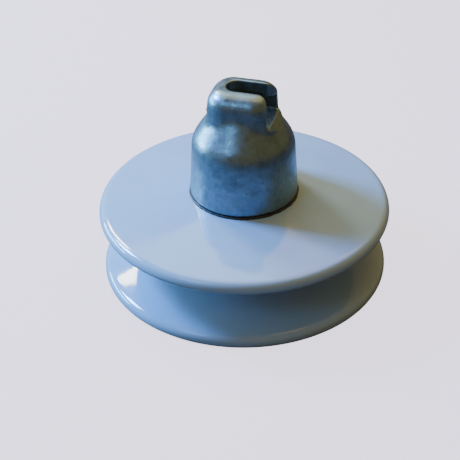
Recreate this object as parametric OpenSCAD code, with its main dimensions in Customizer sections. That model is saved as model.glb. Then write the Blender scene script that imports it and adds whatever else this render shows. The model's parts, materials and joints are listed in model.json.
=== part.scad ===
// Double-shed porcelain disc insulator with a ball and socket coupling.
// Z is its axis, and it stands on the rim of its lower shed at z = 0.
// +X is the side on which the ball of the pin above enters the socket.
// Heights (_h) are measured from z = 0 unless a comment says otherwise.

/* [Coupling] */
// Distance from this unit's seat to the seat of the next unit
spacing = 146; // [145:0.5:148]
// Height of the socket's seat, on which the ball above bears
seat_h = 169; // [168.5:0.25:169.5]
// Diameter of the pin's shank
shank_d = 17; // [16:0.1:17]
// Diameter of the ball
ball_d = 33.3; // [32.5:0.1:33.3]
// Thickness of the ball along the axis
ball_t = 13.4; // [12.8:0.1:13.4]
// Radius of the ball's spherical bottom
ball_bottom_r = 23; // [22:0.5:24]
// Width of the slot that the shank passes through
slot_w = 19.2; // [19.2:0.1:20]
// Width of the opening that the ball passes through
opening_w = 34.5; // [34.5:0.1:35.5]
// Height of the opening that the ball passes through
opening_t = 14.5; // [14.5:0.1:15]
// Depth of the seat above the roof of that opening, which keeps the ball in
seat_t = 3; // [2.5:0.1:3.2]
// How far behind the axis the slot's round end is centred
slot_back = 4.3; // [3.5:0.1:4.5]
// Rounding of the two lips at the mouth, seen from above
lip_round = 10; // [9:0.5:10]

/* [Sheds] */
// Diameter of the upper shed
upper_d = 255; // [253:0.5:256]
// Diameter of the lower shed
lower_d = 252; // [250:0.5:253]
// Height of the upper shed's drip edge
drip_h = 57; // [56:0.1:57.1]
// Rounding of each rim's upper edge
rim_round = 7; // [6:0.5:7]
// Rounding of each rim's drip edge
drip_round = 4.5; // [4:0.25:4.5]
// Slope of the upper shed's top, in degrees
upper_slope = 6.4; // [6:0.1:6.5]
// Slope of the upper shed's underside, in degrees
under_slope = 5; // [4:0.5:6]
// Slope of the lower shed's top, in degrees
lower_slope = 20; // [19:0.5:21]
// Slope of the lower shed's underside, in degrees
hollow_slope = 24; // [23:0.5:25]
// Width of the unglazed foot under the lower rim
foot_w = 3; // [2:0.5:4]
// Radius of the neck between the sheds
neck_r = 66; // [65:0.5:68]
// Radius of the hollow around the pin
hollow_r = 50; // [48:0.5:51]
// Height of the hollow's ceiling
ceiling_h = 52; // [51:0.5:53]

/* [Porcelain head] */
// Radius of the head, inside the cap
head_r = 35; // [34.5:0.25:35]
// Height of the head's top
head_h = 137; // [136:0.5:137]
// Rounding of the head's top edge
head_round = 12; // [11:0.5:13]
// Radius of the bore that holds the pin
bore_r = 24; // [23.5:0.25:24.5]
// Height of the bore's closed end
bore_h = 123; // [122:0.5:124]

/* [Cap] */
// Height of the cap's lower edge
cap_h = 78.8; // [78.8:0.1:79.5]
// Radius at the cap's lower edge
cap_r = 47.2; // [46.8:0.1:47.6]
// Radius at the cap's shoulder
shoulder_r = 44.3; // [43.8:0.1:44.8]
// Height of the cap's shoulder
shoulder_h = 131; // [130:0.5:132]
// Angle of the shoulder's cone from the horizontal
shoulder_slope = 56; // [55:0.5:57]
// Thickness of the shoulder's wall
shoulder_wall = 6; // [5.5:0.25:6.5]
// Height of the top of the socket head
top_h = 179; // [178:0.5:180]
// Reach of the socket head from the axis, towards the entry
socket_front = 32.3; // [32:0.1:33]
// Reach of the socket head from the axis, away from the entry
socket_back = 30.8; // [30.5:0.1:31.5]
// Half width of the socket head, across the entry
socket_y = 27; // [26.5:0.1:27.5]
// Rounding of the socket head's corners, seen from above
corner_r = 21; // [20:0.5:22]
// Rounding of the socket head's top edge
top_round = 14; // [13:0.5:14]

/* [Clip] */
// Diameter of the locking clip's wire
wire_d = 3; // [2.8:0.1:3]
// Half the gap between the clip's legs, on the wire's centre line
leg_y = 4.6; // [4.4:0.1:4.8]
// Half the gap between the clip's feet, on the wire's centre line
foot_y = 9; // [8.6:0.1:9.2]

/* [Pin] */
// Height of the stem's top, inside the porcelain head
stem_h = 116; // [115:0.5:117]
// Radius of the stem's two cones
cone_r = 17.4; // [16.5:0.1:17.6]

/* [Hidden] */
$fn = 96;

// Steps in each rounded corner of an outline
round_steps = 7;
// Overlap that makes a cut clear its surface
clear = 1;

// Sheds
upper_r = upper_d / 2;
lower_r = lower_d / 2;
upper_edge_h = drip_h + drip_round + rim_round * tan(45 - upper_slope / 2) + 0.2;
lower_edge_h = drip_round + rim_round * tan(45 - lower_slope / 2) + 0.9;
foot_r = lower_r - drip_round - foot_w;
groove_roof_h = drip_h + (upper_r - neck_r) * tan(under_slope);
groove_floor_h = lower_edge_h + (lower_r - neck_r) * tan(lower_slope);
// Where the lower shed's underside turns up into the hollow around the pin
turn_r = 68;
turn_h = (foot_r - turn_r) * tan(hollow_slope);
// Rounding of the bore's mouth
mouth_round = 3;

// Layers
sand_t = 1.2;
bitumen_t = 0.5;
cushion_t = 2.5;
seal_t = 2.5;
seal_r = 48;
cushion_r = 23;
seal_h = ceiling_h + mouth_round;
pin_cement_h = seal_h + seal_t;

// Cap cavity
cavity_mouth_r = 39.4;
cavity_r = 40.8;
cavity_lip_t = 4.5;
cavity_shoulder_r = 39;
cavity_roof_h = 141.5;
shoulder_round = 28;
cavity_round = 16;
slope_r = shoulder_wall * sin(shoulder_slope);
slope_h = shoulder_wall * cos(shoulder_slope);

// Socket
opening_roof_h = seat_h - seat_t;
floor_h = opening_roof_h - opening_t;
ball_r = ball_d / 2;
shank_r = shank_d / 2;
seat_r = opening_w / 2 + 0.35;
// Where the lips begin to round back, and where the sill below the mouth slopes away
lip_x = 15.5;
sill_x = 27;
sill_slope = 40;
// How far cuts reach past the head along X
reach = 60;
socket_taper = 3.4;
post_base_h = 145;
post_wide = corner_r + socket_taper / 8;
post_narrow = corner_r - socket_taper;

// Clip, drawn locked
wire_gap = 0.3;
wire_h = floor_h + wire_gap + wire_d / 2;
bend_r = 3;
bend_a = 45;
leg_end_x = -3;
foot_l = 3;
eye_x = -26.4;
slope_l = (foot_y - leg_y - 2 * bend_r * (1 - cos(bend_a))) / sin(bend_a);
foot_x = leg_end_x + 2 * bend_r * sin(bend_a) + slope_l * cos(bend_a);
hole_y = leg_y + wire_d / 2 + wire_gap;
hole_t = wire_d + 2 * wire_gap;
recess_x = -24;
recess_y = 10;
recess_low = 2;
recess_t = 9.5;

// Pin
bearing_h = seat_h - spacing;
ball_low_h = bearing_h - ball_t;
bearing_drop = 1.6;
bearing_rise = 0.4;
collar_r = 10.5;
collar_low_h = 46;
collar_h = 51;

function unit(v) = v / norm(v);
function flat(p) = [p[0], p[1]];

// Points of an arc about c, from angle a to angle b
function arc(c, r, a, b, steps) =
    [for (i = [0:steps]) c + r * [cos(a + (b - a) * i / steps), sin(a + (b - a) * i / steps)]];

// Points that round the corner q between p and s
function rounded(p, q, s, r) =
    let (to_p = unit(p - q),
         to_s = unit(s - q),
         half = acos(to_p * to_s) / 2,
         c = q + unit(to_p + to_s) * r / sin(half),
         start = q + to_p * r / tan(half) - c,
         end = q + to_s * r / tan(half) - c,
         a = atan2(start[1], start[0]),
         turn = atan2(end[1], end[0]) - a)
    arc(c, r, a, a + turn - 360 * round(turn / 360), round_steps);

// An outline from corners [radius, height, rounding]; the rounding may be left out
function outline(corners) =
    let (n = len(corners))
    [for (i = [0:n - 1])
        let (q = corners[i])
        each (len(q) < 3 ? [q]
            : rounded(flat(corners[(i + n - 1) % n]), flat(q), flat(corners[(i + 1) % n]), q[2]))];

// A solid of revolution from the corners of its half section
module spin(corners) {
    rotate_extrude() polygon(outline(corners));
}

module ring(inner, outer, low, high) {
    spin([[inner, low], [outer, low], [outer, high], [inner, high]]);
}

// Outer form of the porcelain head, which the cement of the cap grips
head_corners = [[0, cap_h - clear], [head_r, cap_h - clear], [head_r, head_h, head_round], [0, head_h]];

// Bore of the porcelain head, above a height
function bore_corners(low) = [[0, low], [bore_r, low], [bore_r, bore_h, head_round], [0, bore_h]];

// Cavity of the cap, made smaller by t
function cavity_corners(t) = [
    [0, cap_h],
    [cavity_mouth_r - t, cap_h],
    [cavity_mouth_r - t, cap_h + cavity_lip_t],
    [cavity_r - t, cap_h + 2 * cavity_lip_t],
    [cavity_shoulder_r - t, shoulder_h - slope_h, cavity_round],
    [cavity_shoulder_r - t - (cavity_roof_h - shoulder_h + slope_h) / tan(shoulder_slope),
        cavity_roof_h - t, 3],
    [0, cavity_roof_h - t]];

// Embedded stem of the pin, made larger by t: a collar and two cones
function stem_corners(t) = [
    [collar_r + t, 76, 4],
    [cone_r + t, 97, 2],
    [cone_r - 4 + t, 101, 1.5],
    [cone_r + t, 112, 1],
    [cone_r + t, stem_h + t, 1.5],
    [0, stem_h + t]];

module porcelain_shell() {
    upper_root_h = upper_edge_h + (upper_r - head_r) * tan(upper_slope);
    color([0.65, 0.75, 0.86]) spin([
        [0, bore_h],
        [bore_r, bore_h, head_round],
        [bore_r, ceiling_h, mouth_round],
        [hollow_r, ceiling_h, 9],
        [hollow_r + 3, turn_h + 12, 14],
        [turn_r, turn_h, 12],
        [foot_r, 0, 2],
        [lower_r, 0, drip_round],
        [lower_r, lower_edge_h, rim_round],
        [neck_r, groove_floor_h, 14],
        [neck_r, groove_roof_h, 10],
        [upper_r - 2 * drip_round, drip_h, 3],
        [upper_r, drip_h, drip_round],
        [upper_r, upper_edge_h, rim_round],
        [head_r, upper_root_h],
        [head_r, head_h, head_round],
        [0, head_h]]);
}

module head_sand_band() {
    color([0.78, 0.76, 0.7]) ring(head_r, head_r + sand_t, 88, 124);
}

module bore_sand_band() {
    color([0.78, 0.76, 0.7]) ring(bore_r - sand_t, bore_r, 62, 110);
}

module head_cushion() {
    color([0.62, 0.45, 0.28]) ring(0, cushion_r, head_h, head_h + cushion_t);
}

module cap_cement() {
    color([0.6, 0.59, 0.56]) difference() {
        spin(cavity_corners(bitumen_t));
        spin(head_corners);
        head_sand_band();
        head_cushion();
    }
}

module cap_bitumen() {
    color([0.08, 0.08, 0.08]) difference() {
        spin(cavity_corners(0));
        spin(cavity_corners(bitumen_t));
    }
}

module base_seal() {
    rise = tan(upper_slope);
    root_h = upper_edge_h + (upper_r - head_r) * rise;
    edge_h = upper_edge_h + (upper_r - seal_r) * rise;
    color([0.1, 0.1, 0.11]) spin([
        [head_r, root_h],
        [seal_r, edge_h],
        [seal_r, cap_h, 0.6],
        [head_r, cap_h]]);
}

module pin_cement() {
    color([0.6, 0.59, 0.56]) difference() {
        spin(bore_corners(pin_cement_h));
        bore_sand_band();
        spin(concat([[0, pin_cement_h - clear], [collar_r + bitumen_t, pin_cement_h - clear]],
            stem_corners(bitumen_t)));
        pin_cushion();
    }
}

module pin_bitumen() {
    color([0.08, 0.08, 0.08]) difference() {
        spin(concat([[0, pin_cement_h], [collar_r + bitumen_t, pin_cement_h]],
            stem_corners(bitumen_t)));
        ball_pin();
    }
}

module pin_cushion() {
    low = stem_h + bitumen_t;
    color([0.62, 0.45, 0.28]) ring(0, cone_r - 3, low, low + cushion_t);
}

module pin_seal() {
    color([0.1, 0.1, 0.11]) ring(collar_r, bore_r, seal_h, pin_cement_h);
}

module ball_pin() {
    bottom_a = asin(ball_r / ball_bottom_r);
    bottom = arc([0, ball_low_h + ball_bottom_r], ball_bottom_r, -90, bottom_a - 90, 8);
    color([0.55, 0.58, 0.6]) spin(concat(
        bottom,
        [[ball_r, bearing_h - bearing_drop, 1],
         [shank_r, bearing_h + bearing_rise, 3],
         [shank_r, collar_low_h, 8],
         [collar_r, collar_h, 8]],
        stem_corners(0)));
}

// One of the four rounded posts whose hull is the socket head
module post(x, y) {
    translate([x, y]) rotate_extrude($fn = 40) polygon(outline([
        [0, post_base_h],
        [post_wide, post_base_h],
        [post_narrow, top_h, top_round],
        [0, top_h]]));
}

module socket_head() {
    y = socket_y - corner_r;
    hull() for (x = [socket_front - corner_r, corner_r - socket_back], side = [-1, 1]) post(x, side * y);
}

// A slot along +X from start, with a round closed end centred there
module entry_slot(start, w, low, high) {
    translate([start, 0, low]) {
        cylinder(d = w, h = high - low);
        translate([0, -w / 2]) cube([reach, w, high - low]);
    }
}

// What rounds the two lips back on either side of the slot, and slopes the sill below them
module mouth_cut() {
    side = slot_w / 2 + lip_round;
    h = top_h + clear - floor_h;
    translate([lip_x, 0, floor_h]) difference() {
        translate([0, -side]) cube([reach, 2 * side, h]);
        for (y = [-side, side]) translate([0, y, -clear]) cylinder(r = lip_round, h = h + 2 * clear);
    }
    translate([sill_x, -side, floor_h]) rotate([0, sill_slope]) cube([reach, 2 * side, h]);
}

module socket_cut() {
    entry_slot(-slot_back, slot_w, floor_h, top_h + clear);
    entry_slot(0, opening_w, floor_h, opening_roof_h);
    translate([0, 0, floor_h]) cylinder(r = seat_r, h = seat_h - floor_h);
    mouth_cut();
}

module clip_cut() {
    translate([-reach, -hole_y, floor_h]) cube([reach, 2 * hole_y, hole_t]);
    translate([-reach, -recess_y, floor_h - recess_low])
        cube([reach + recess_x, 2 * recess_y, recess_t]);
}

module cap() {
    tip_h = 158;
    tip_r = shoulder_r - (tip_h - shoulder_h) / tan(shoulder_slope);
    color([0.42, 0.5, 0.56]) difference() {
        union() {
            spin([
                [0, cap_h],
                [cap_r, cap_h, 1.5],
                [shoulder_r, shoulder_h, shoulder_round],
                [tip_r, tip_h],
                [0, tip_h]]);
            socket_head();
        }
        spin(cavity_corners(0));
        translate([0, 0, cap_h - clear]) cylinder(r = cavity_mouth_r, h = 2 * clear);
        socket_cut();
        clip_cut();
    }
}

module wire_line(x0, y0, x1, y1) {
    along = [x1 - x0, y1 - y0];
    translate([x0, y0, wire_h]) rotate([0, 90, atan2(along[1], along[0])])
        cylinder(d = wire_d, h = norm(along));
}

// A bend of the wire about (x, y), from angle a through angle turn
module wire_bend(x, y, r, a, turn) {
    translate([x, y, wire_h]) rotate([0, 0, a])
        rotate_extrude(angle = turn) translate([r, 0]) circle(d = wire_d);
}

module clip_leg() {
    sink = bend_r * sin(bend_a);
    lift = bend_r * (1 - cos(bend_a));
    wire_line(eye_x, leg_y, leg_end_x, leg_y);
    wire_bend(leg_end_x, leg_y + bend_r, bend_r, -90, bend_a);
    wire_line(leg_end_x + sink, leg_y + lift, foot_x - sink, foot_y - lift);
    wire_bend(foot_x, foot_y - bend_r, bend_r, 90, bend_a);
    wire_line(foot_x, foot_y, foot_x + foot_l, foot_y);
}

module locking_clip() {
    color([0.75, 0.72, 0.66]) {
        wire_bend(eye_x, 0, leg_y, 90, 180);
        clip_leg();
        mirror([0, 1, 0]) clip_leg();
    }
}

cap();
locking_clip();
porcelain_shell();
head_sand_band();
bore_sand_band();
cap_cement();
cap_bitumen();
base_seal();
head_cushion();
pin_cement();
pin_bitumen();
pin_cushion();
pin_seal();
ball_pin();
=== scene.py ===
"""Looks for the double-shed porcelain disc insulator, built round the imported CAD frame."""
import json
import math

import bmesh
import bpy
from mathutils import Matrix, Vector, noise

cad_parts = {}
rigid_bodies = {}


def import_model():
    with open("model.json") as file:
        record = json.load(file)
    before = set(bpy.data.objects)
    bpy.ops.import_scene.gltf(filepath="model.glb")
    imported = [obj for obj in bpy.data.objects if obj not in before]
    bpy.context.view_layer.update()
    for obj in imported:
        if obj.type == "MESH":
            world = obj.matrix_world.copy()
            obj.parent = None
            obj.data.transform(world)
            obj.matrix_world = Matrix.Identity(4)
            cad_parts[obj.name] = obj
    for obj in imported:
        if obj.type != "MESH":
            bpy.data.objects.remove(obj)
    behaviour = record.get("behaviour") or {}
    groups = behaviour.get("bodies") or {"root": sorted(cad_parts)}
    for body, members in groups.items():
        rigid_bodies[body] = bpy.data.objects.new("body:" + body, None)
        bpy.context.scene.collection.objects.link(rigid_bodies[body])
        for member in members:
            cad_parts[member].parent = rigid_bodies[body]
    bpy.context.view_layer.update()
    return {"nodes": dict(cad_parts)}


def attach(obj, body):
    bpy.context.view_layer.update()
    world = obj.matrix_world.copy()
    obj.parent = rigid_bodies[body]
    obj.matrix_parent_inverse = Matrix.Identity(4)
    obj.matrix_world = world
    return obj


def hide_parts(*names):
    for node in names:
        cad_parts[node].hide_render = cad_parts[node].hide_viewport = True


for leftover in list(bpy.data.objects):
    bpy.data.objects.remove(leftover)

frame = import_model()
MM = 0.001
BODY = "insulator"


# ---------------------------------------------------------------- turned outlines

def outline_of(node):
    """A turned CAD node's half section as (radius, height) points in order, and whether it closes."""
    mesh = frame["nodes"][node].data
    near = 0.0002 * MM
    spot = {}
    for v in mesh.vertices:
        if abs(v.co.y) < near and v.co.x > -near:
            spot[v.index] = (round(max(v.co.x, 0.0), 7), round(v.co.z, 7))
    links = {}
    for painted_edge_light in mesh.edges:
        a, b = (spot.get(i) for i in painted_edge_light.vertices)
        if a is not None and b is not None and a != b:
            links.setdefault(a, set()).add(b)
            links.setdefault(b, set()).add(a)
    ends = sorted(p for p, others in links.items() if len(others) == 1)
    start = ends[0] if ends else min(links)
    path = [start]
    while True:
        onward = sorted(p for p in links[path[-1]] if p not in path[-2:] and p != start)
        if not onward:
            break
        path.append(onward[0])
    return path, not ends


def refined(points, closed, step):
    """The same outline with its long stretches divided, so that shading stays even."""
    pairs = list(zip(points, points[1:] + points[:1])) if closed else list(zip(points, points[1:]))
    out = []
    for (r0, z0), (r1, z1) in pairs:
        parts = max(1, math.ceil(math.hypot(r1 - r0, z1 - z0) / step))
        out += [(r0 + (r1 - r0) * k / parts, z0 + (z1 - z0) * k / parts) for k in range(parts)]
    return out if closed else out + [points[-1]]


def eased(points, closed):
    """One pass that eases each corner of an outline by a quarter of its neighbours' offset."""
    n = len(points)
    out = []
    for i, (r, z) in enumerate(points):
        if not closed and i in (0, n - 1):
            out.append((r, z))
            continue
        (ra, za), (rb, zb) = points[i - 1], points[(i + 1) % n]
        out.append(((ra + 2 * r + rb) / 4, (za + 2 * z + zb) / 4))
    return out


def lathe(name, node, step, turns, shape=None):
    """A smooth turned piece with the outline of a CAD node; shape may move each vertex a little."""
    points, closed = outline_of(node)
    points = eased(refined(points, closed, step), closed)
    bm = bmesh.new()
    rings = []
    for r, z in points:
        if r < 0.001 * MM:
            rings.append([bm.verts.new((0, 0, z))] * turns)
            continue
        angles = (2 * math.pi * k / turns for k in range(turns))
        rings.append([bm.verts.new((r * math.cos(a), r * math.sin(a), z)) for a in angles])
    pairs = list(zip(rings, rings[1:] + rings[:1])) if closed else list(zip(rings, rings[1:]))
    for low, high in pairs:
        for k in range(turns):
            corners = [low[k], low[(k + 1) % turns], high[(k + 1) % turns], high[k]]
            distinct = list(dict.fromkeys(corners))
            if len(distinct) > 2:
                bm.faces.new(distinct)
    if shape:
        for v in bm.verts:
            v.co = shape(v.co.copy())
    bmesh.ops.recalc_face_normals(bm, faces=bm.faces)
    mesh = bpy.data.meshes.new(name)
    bm.to_mesh(mesh)
    bm.free()
    mesh.shade_smooth()
    piece = bpy.data.objects.new(name, mesh)
    bpy.context.scene.collection.objects.link(piece)
    return piece


def stand_in(piece, node, material):
    """The piece takes the place of a CAD node, on the fixed body."""
    piece.data.materials.clear()
    piece.data.materials.append(material)
    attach(piece, BODY)
    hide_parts(node)


# ---------------------------------------------------------------- materials

class Nodes:
    """A short way to write a material's node tree."""

    def __init__(self, name):
        self.material = bpy.data.materials.new(name)
        self.material.use_nodes = True
        self.tree = self.material.node_tree
        self.shader = self.tree.nodes["Principled BSDF"]
        self.place = self.add("ShaderNodeTexCoord").outputs["Object"]

    def add(self, kind, **values):
        node = self.tree.nodes.new(kind)
        for key, value in values.items():
            setattr(node, key, value)
        return node

    def link(self, source, target):
        self.tree.links.new(source, target)

    def noise(self, scale, detail=3.0, rough=0.5, distortion=0.0, place=None):
        node = self.add("ShaderNodeTexNoise")
        self.link(place or self.place, node.inputs["Vector"])
        node.inputs["Scale"].default_value = scale
        node.inputs["Detail"].default_value = detail
        node.inputs["Roughness"].default_value = rough
        node.inputs["Distortion"].default_value = distortion
        return node.outputs["Fac"]

    def cells(self, scale, output="Distance"):
        node = self.add("ShaderNodeTexVoronoi")
        self.link(self.place, node.inputs["Vector"])
        node.inputs["Scale"].default_value = scale
        return node.outputs[output]

    def grains(self, scale):
        """Three random values for each cell."""
        split = self.add("ShaderNodeSeparateColor")
        self.link(self.cells(scale, "Color"), split.inputs[0])
        return split.outputs

    def math(self, operation, a, b=0.0):
        node = self.add("ShaderNodeMath", operation=operation)
        for socket, value in zip(node.inputs, (a, b)):
            if isinstance(value, (int, float)):
                socket.default_value = value
            else:
                self.link(value, socket)
        return node.outputs[0]

    def ramp(self, value, stops):
        node = self.add("ShaderNodeValToRGB")
        elements = node.color_ramp.elements
        while len(elements) < len(stops):
            elements.new(0.5)
        for element, (position, colour) in zip(elements, stops):
            element.position = position
            element.color = (*colour, 1)
        self.link(value, node.inputs["Fac"])
        return node.outputs["Color"]

    def mix(self, factor, a, b):
        node = self.add("ShaderNodeMix", data_type="RGBA")
        colours = [s for s in node.inputs if s.type == "RGBA"]
        for socket, value in ((node.inputs[0], factor), (colours[0], a), (colours[1], b)):
            if isinstance(value, (int, float)):
                socket.default_value = value
            elif isinstance(value, tuple):
                socket.default_value = (*value, 1)
            else:
                self.link(value, socket)
        return [s for s in node.outputs if s.type == "RGBA"][0]

    def span(self, value, low, high, to_low=0.0, to_high=1.0):
        node = self.add("ShaderNodeMapRange")
        self.link(value, node.inputs["Value"])
        for socket, number in zip(list(node.inputs)[1:5], (low, high, to_low, to_high)):
            socket.default_value = number
        return node.outputs["Result"]

    def bump(self, height, strength, distance, normal=None):
        node = self.add("ShaderNodeBump")
        node.inputs["Strength"].default_value = strength
        node.inputs["Distance"].default_value = distance
        self.link(height, node.inputs["Height"])
        if normal:
            self.link(normal, node.inputs["Normal"])
        return node.outputs["Normal"]

    def axis(self, name):
        split = self.add("ShaderNodeSeparateXYZ")
        self.link(self.place, split.inputs[0])
        return split.outputs[name]

    def radius(self):
        square = self.math("ADD", self.math("POWER", self.axis("X"), 2.0),
                           self.math("POWER", self.axis("Y"), 2.0))
        return self.math("SQRT", square)

    def put(self, **sockets):
        for key, value in sockets.items():
            socket = self.shader.inputs[key.replace("_", " ")]
            if isinstance(value, (int, float)):
                socket.default_value = value
            elif isinstance(value, tuple):
                socket.default_value = (*value, 1)
            else:
                self.link(value, socket)
        return self.material


def glaze():
    """Pale blue-grey glaze over porcelain, with a bare ring where it stood in the kiln."""
    foot_h, foot_inside = 0.28 * MM, 117 * MM
    n = Nodes("porcelain_glaze")
    cloud = n.noise(22, 4, 0.55)
    tone = n.ramp(cloud, [(0.3, (0.27, 0.42, 0.61)), (0.7, (0.30, 0.455, 0.65))])
    dots = n.math("LESS_THAN", n.cells(420), 0.055)
    speck = n.math("MULTIPLY", dots, n.math("GREATER_THAN", n.noise(60), 0.56))
    tone = n.mix(n.math("MULTIPLY", speck, 0.35), tone, (0.12, 0.13, 0.14))
    foot = n.math("MULTIPLY", n.math("LESS_THAN", n.axis("Z"), foot_h),
                  n.math("GREATER_THAN", n.radius(), foot_inside))
    bare = n.ramp(n.noise(900, 2), [(0.3, (0.62, 0.58, 0.50)), (0.7, (0.74, 0.70, 0.62))])
    tone = n.mix(foot, tone, bare)
    dull = n.span(n.noise(9, 5, 0.6), 0.35, 0.75, 0.07, 0.13)
    rough = n.math("MAXIMUM", dull, n.math("MULTIPLY", foot, 0.75))
    waves = n.bump(n.noise(55, 2, 0.4), 0.10, 0.4 * MM)
    peel = n.bump(n.noise(700, 2, 0.5), 0.035, 0.05 * MM, waves)
    return n.put(Base_Color=tone, Roughness=rough, Normal=peel, IOR=1.52,
                 Coat_Weight=0.35, Coat_Roughness=0.04)


def galvanised(name, dark, light, rough_low, rough_high, skin):
    """Zinc on iron: spangled and a little pitted; painted shade keeps the hollows darker and lightens the
    sharp edges.
    """
    n = Nodes(name)
    spangle = n.math("MULTIPLY", n.grains(240)[0], 0.18)
    mottle = n.math("ADD", spangle, n.math("MULTIPLY", n.noise(45, 6, 0.62), 0.82))
    tone = n.ramp(mottle, [(0.25, dark), (0.75, light)])
    grime = n.span(n.noise(130, 5, 0.7, 0.4), 0.52, 0.78)
    tone = n.mix(n.math("MULTIPLY", grime, 0.45), tone, tuple(c * 0.35 for c in dark))
    # Painted shade: sharp edges, found from pointiness, are lightened so the hollows stay darker, in place
    # of ambient occlusion.
    painted_edge_light = n.span(n.add("ShaderNodeNewGeometry").outputs["Pointiness"], 0.505, 0.56)
    tone = n.mix(n.math("MULTIPLY", painted_edge_light, 0.5), tone, tuple(min(1, c * 1.35) for c in light))
    rough = n.span(n.noise(160, 4, 0.6), 0.3, 0.7, rough_low, rough_high)
    lumps = n.bump(n.noise(90, 4, 0.55), skin, 0.6 * MM)
    pits = n.bump(n.noise(520, 3, 0.6), skin * 0.8, 0.15 * MM, lumps)
    return n.put(Base_Color=tone, Roughness=rough, Normal=pits, Metallic=0.85)


def bitumen():
    """Black bituminous coat, brushed on and softly lumpy."""
    n = Nodes("bitumen_coat")
    tone = n.ramp(n.noise(240, 4), [(0.3, (0.010, 0.010, 0.011)), (0.75, (0.035, 0.034, 0.033))])
    rough = n.span(n.noise(310, 3), 0.3, 0.7, 0.32, 0.6)
    return n.put(Base_Color=tone, Roughness=rough, Normal=n.bump(n.noise(420, 4), 0.4, 0.3 * MM))


def cement():
    """Portland cement with fine sand in it."""
    n = Nodes("portland_cement")
    tone = n.ramp(n.noise(300, 6, 0.7), [(0.3, (0.30, 0.29, 0.27)), (0.7, (0.47, 0.46, 0.43))])
    sand = n.math("LESS_THAN", n.cells(1500), 0.2)
    tone = n.mix(n.math("MULTIPLY", sand, 0.4), tone, (0.20, 0.18, 0.15))
    rough = n.span(n.noise(500, 3), 0.2, 0.8, 0.8, 0.95)
    return n.put(Base_Color=tone, Roughness=rough, Normal=n.bump(n.noise(1300, 5, 0.7), 0.6, 0.2 * MM))


def grit():
    """Crushed porcelain fired onto the head."""
    n = Nodes("porcelain_grit")
    grain = n.grains(1100)
    tone = n.ramp(grain[1], [(0.1, (0.45, 0.42, 0.36)), (0.9, (0.75, 0.73, 0.68))])
    rough = n.span(grain[2], 0.0, 1.0, 0.55, 0.9)
    return n.put(Base_Color=tone, Roughness=rough, Normal=n.bump(n.cells(1100), 1.0, 0.5 * MM))


def cork():
    """Pressed cork granules."""
    n = Nodes("pressed_cork")
    tone = n.ramp(n.grains(650)[0], [(0.0, (0.24, 0.13, 0.06)), (0.5, (0.42, 0.26, 0.13)),
                                     (1.0, (0.55, 0.38, 0.20))])
    rough = n.span(n.noise(800), 0.3, 0.7, 0.75, 0.95)
    return n.put(Base_Color=tone, Roughness=rough, Normal=n.bump(n.cells(650), 0.7, 0.3 * MM))


def bronze():
    """Drawn bronze wire, lightly tarnished, with faint die marks along it."""
    n = Nodes("drawn_bronze")
    stretch = n.add("ShaderNodeMapping")
    stretch.inputs["Scale"].default_value = (0.05, 1, 1)
    n.link(n.place, stretch.inputs["Vector"])
    tone = n.ramp(n.noise(180, 4), [(0.3, (0.36, 0.24, 0.12)), (0.7, (0.60, 0.44, 0.24))])
    marks = n.noise(4200, 3, 0.6, place=stretch.outputs["Vector"])
    rough = n.span(n.noise(240, 4), 0.3, 0.7, 0.22, 0.42)
    return n.put(Base_Color=tone, Roughness=rough, Normal=n.bump(marks, 0.25, 0.05 * MM), Metallic=1.0)


# ---------------------------------------------------------------- pieces

def cast_cap(material):
    """The cap as a casting: the CAD solid with every edge and inner corner softened, and a cast skin."""
    weld, voxel = 0.0005 * MM, 0.75 * MM
    broad_scale, broad_swell = 0.11, 0.16
    fine_scale, fine_swell = 0.45, 0.05
    sink = 0.12
    source = frame["nodes"]["cap"]
    mesh = source.data.copy()
    mesh.name = "cast_cap"
    piece = bpy.data.objects.new("cast_cap", mesh)
    bpy.context.scene.collection.objects.link(piece)
    bm = bmesh.new()
    bm.from_mesh(mesh)
    bmesh.ops.remove_doubles(bm, verts=bm.verts, dist=weld)
    bm.to_mesh(mesh)
    bm.free()
    remesh = piece.modifiers.new("skin", "REMESH")
    remesh.mode = "VOXEL"
    remesh.voxel_size = voxel
    smooth(piece, 0.5, 7)
    neck = piece.vertex_groups.new(name="neck")
    for v in piece.data.vertices:
        weight = neck_weight(v.co / MM)
        if weight > 0:
            neck.add([v.index], weight, "REPLACE")
    smooth(piece, 0.9, 70, neck.name)
    piece.vertex_groups.clear()
    skin = [(v.co.copy(), v.normal.copy()) for v in piece.data.vertices]
    for v, (place, normal) in zip(piece.data.vertices, skin):
        p = place / MM
        swell = noise.noise(p * broad_scale) * broad_swell + noise.noise(p * fine_scale) * fine_swell
        v.co = place + normal * (swell - sink) * MM
    piece.data.shade_smooth()
    stand_in(piece, "cap", material)
    return piece


def neck_weight(p):
    """How far a point, in mm, is blended: most where the socket head grows out of the shoulder."""
    middle, reach, fullness, painted_edge_light = 152.5, 11.0, 1.6, 3.0
    socket_r = 23.5
    mouth_x, mouth_side = 18.0, 19.0
    clip_x, clip_side = -19.0, 10.0
    outside = math.hypot(p.x, p.y) - socket_r
    beside_mouth = max(abs(p.y) - mouth_side, mouth_x - p.x)
    beside_clip = max(abs(p.y) - clip_side, p.x - clip_x)
    height = 1 - (abs(p.z - middle) / reach) ** 2
    room = min(outside, beside_mouth, beside_clip) / painted_edge_light
    return max(0.0, min(1.0, height * fullness)) * max(0.0, min(1.0, room))


def smooth(piece, factor, times, group=""):
    """Smooths the piece, or only a group of its vertices, and applies what it carries."""
    modifier = piece.modifiers.new("smooth", "SMOOTH")
    modifier.factor = factor
    modifier.iterations = times
    modifier.vertex_group = group
    flatten(piece)


def flatten(piece):
    """Applies the piece's modifiers."""
    graph = bpy.context.evaluated_depsgraph_get()
    done = bpy.data.meshes.new_from_object(piece.evaluated_get(graph))
    piece.modifiers.clear()
    old = piece.data
    piece.data = done
    bpy.data.meshes.remove(old)


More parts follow.
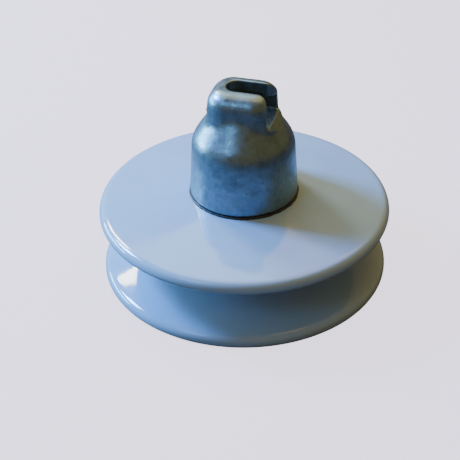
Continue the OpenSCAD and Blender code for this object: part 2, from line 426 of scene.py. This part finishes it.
def bead(amount, scale):
    """A small uneven swelling and shrinking about the axis, as in a bead laid by hand."""
    def shape(p):
        lump = noise.noise(p / MM * scale) * amount * MM
        r = math.hypot(p.x, p.y)
        if r < MM:
            return p
        k = (r + lump - 0.4 * amount * MM) / r
        return Vector((p.x * k, p.y * k, p.z))
    return shape


def build_pieces():
    shell = lathe("glazed_shell", "porcelain_shell", 2.0 * MM, 288)
    stand_in(shell, "porcelain_shell", glaze())
    iron = galvanised("galvanised_iron", (0.13, 0.21, 0.275), (0.22, 0.33, 0.42), 0.26, 0.42, 0.35)
    cast_cap(iron)
    steel = galvanised("galvanised_steel", (0.30, 0.34, 0.37), (0.50, 0.54, 0.56), 0.30, 0.46, 0.22)
    pin = lathe("forged_pin", "ball_pin", 1.0 * MM, 96)
    stand_in(pin, "ball_pin", steel)
    black = bitumen()
    # The black seal bead is a real bitumen seal; where it reaches out past the cap's edge it also stands in
    # for the contact shadow there, as painted shade.
    seal_and_contact_shade = lathe("seal_bead_and_contact_shade", "base_seal", 0.4 * MM, 288, bead(0.5, 0.25))
    stand_in(seal_and_contact_shade, "base_seal", black)
    mouth = lathe("mouth_seal", "pin_seal", 0.5 * MM, 144, bead(0.25, 0.3))
    stand_in(mouth, "pin_seal", black)
    plain = [(bronze(), ["locking_clip"]),
             (grit(), ["head_sand_band", "bore_sand_band"]),
             (cement(), ["cap_cement", "pin_cement"]),
             (black, ["cap_bitumen", "pin_bitumen"]),
             (cork(), ["head_cushion", "pin_cushion"])]
    for material, nodes in plain:
        for node in nodes:
            data = frame["nodes"][node].data
            data.materials.clear()
            data.materials.append(material)


# ---------------------------------------------------------------- floor, lights and camera

ENTRY_TURN = math.radians(16)
CAMERA_RISE = math.radians(33.878)
CAMERA_ROLL = math.radians(-1.1)
CAMERA_DISTANCE = 1.1
LENS = 97.42
PIVOT = Vector((0, 0, 61.5 * MM))
AIM_ACROSS = -12.96 * MM
AIM_OVER = -28.08 * MM
# What the floor and the room give to the object, and what the camera sees of them
FLOOR_BOUNCE = (0.10, 0.10, 0.11)
FLOOR_SHADE = 0.8
FLOOR_GLOW = 1.85
FLOOR_TINT = (1.0, 0.93, 1.12)
ROOM_LIGHT = (0.30, 0.205, 0.085)
ROOM_COLOUR = (2.4, 2.3, 2.8)


def from_view(azimuth, rise):
    """A direction from the object; azimuth 0 is the picture's right and 90 is straight behind the object."""
    a, e = azimuth + ENTRY_TURN, rise
    return Vector((math.cos(a) * math.cos(e), math.sin(a) * math.cos(e), math.sin(e)))


def place_camera():
    place = PIVOT + from_view(math.radians(-90), CAMERA_RISE) * CAMERA_DISTANCE
    target = PIVOT + from_view(0, 0) * AIM_ACROSS + Vector((0, 0, AIM_OVER))
    data = bpy.data.cameras.new("camera")
    data.lens = LENS
    data.clip_end = 50
    camera = bpy.data.objects.new("camera", data)
    look = (target - place).to_track_quat("-Z", "Y").to_matrix().to_4x4()
    camera.matrix_world = Matrix.Translation(place) @ look @ Matrix.Rotation(CAMERA_ROLL, 4, "Z")
    bpy.context.scene.collection.objects.link(camera)
    bpy.context.scene.camera = camera


def area_light(name, azimuth, rise, distance, size, power, colour):
    """A soft panel that faces the object, from a direction as in from_view but in degrees."""
    place = from_view(math.radians(azimuth), math.radians(rise)) * distance
    data = bpy.data.lights.new(name, "AREA")
    data.shape = "RECTANGLE"
    data.size, data.size_y = size
    data.energy = power
    data.color = colour
    light = bpy.data.objects.new(name, data)
    light.matrix_world = Matrix.Translation(place) @ place.to_track_quat("Z", "Y").to_matrix().to_4x4()
    bpy.context.scene.collection.objects.link(light)
    return light


def seen_directly(tree):
    """1 where the camera looks straight at a surface, 0 where it is only mirrored or gives off light."""
    return tree.nodes.new("ShaderNodeLightPath").outputs["Is Camera Ray"]


def plain_floor():
    """A pale floor that throws little light back, as in a dark room."""
    radius = 6.0
    below = -0.2 * MM
    bm = bmesh.new()
    bmesh.ops.create_circle(bm, cap_ends=True, segments=64, radius=radius)
    mesh = bpy.data.meshes.new("floor")
    bm.to_mesh(mesh)
    bm.free()
    floor = bpy.data.objects.new("floor", mesh)
    floor.location.z = below
    n = Nodes("pale_floor")
    tone = n.ramp(n.noise(3, 2), [(0.3, (0.86, 0.80, 0.84)), (0.7, (0.88, 0.82, 0.86))])
    seen = seen_directly(n.tree)
    tone = n.mix(seen, FLOOR_BOUNCE, n.mix(FLOOR_SHADE, tone, (0.0, 0.0, 0.0)))
    glow = n.math("MULTIPLY", seen, FLOOR_GLOW)
    mesh.materials.append(n.put(Base_Color=tone, Roughness=0.9, Specular_IOR_Level=0.1,
                                Emission_Color=FLOOR_TINT, Emission_Strength=glow))
    bpy.context.scene.collection.objects.link(floor)


def dim_room():
    """A room that looks pale behind the floor but lights the object only a little."""
    world = bpy.data.worlds.new("studio")
    world.use_nodes = True
    tree = world.node_tree
    back = tree.nodes["Background"]
    mix = tree.nodes.new("ShaderNodeMix")
    mix.data_type = "RGBA"
    colours = [socket for socket in mix.inputs if socket.type == "RGBA"]
    tree.links.new(seen_directly(tree), mix.inputs[0])
    colours[0].default_value = (*ROOM_LIGHT, 1)
    colours[1].default_value = (*ROOM_COLOUR, 1)
    tree.links.new([socket for socket in mix.outputs if socket.type == "RGBA"][0], back.inputs["Color"])
    bpy.context.scene.world = world


def studio():
    """The room and its panels: name, azimuth, rise, distance, size, power and colour."""
    dim_room()
    area_light("key", 160, 38, 1.6, (0.40, 0.40), 78, (0.13, 0.42, 1.0))
    area_light("low", 160, 11, 1.6, (0.9, 0.3), 24, (0.33, 0.76, 1.0))
    area_light("high", 110, 60, 1.6, (0.8, 0.8), 4, (0.3, 0.8, 1.0))
    area_light("window", 129, 41, 1.6, (0.30, 0.36), 15, (1.0, 0.93, 0.74))
    area_light("top", 80, 73, 1.5, (1.4, 1.4), 12, (1.0, 0.55, 0.10))
    area_light("left", 226, 42, 1.6, (0.5, 0.5), 3, (0.25, 0.62, 1.0))


build_pieces()
place_camera()
plain_floor()
studio()
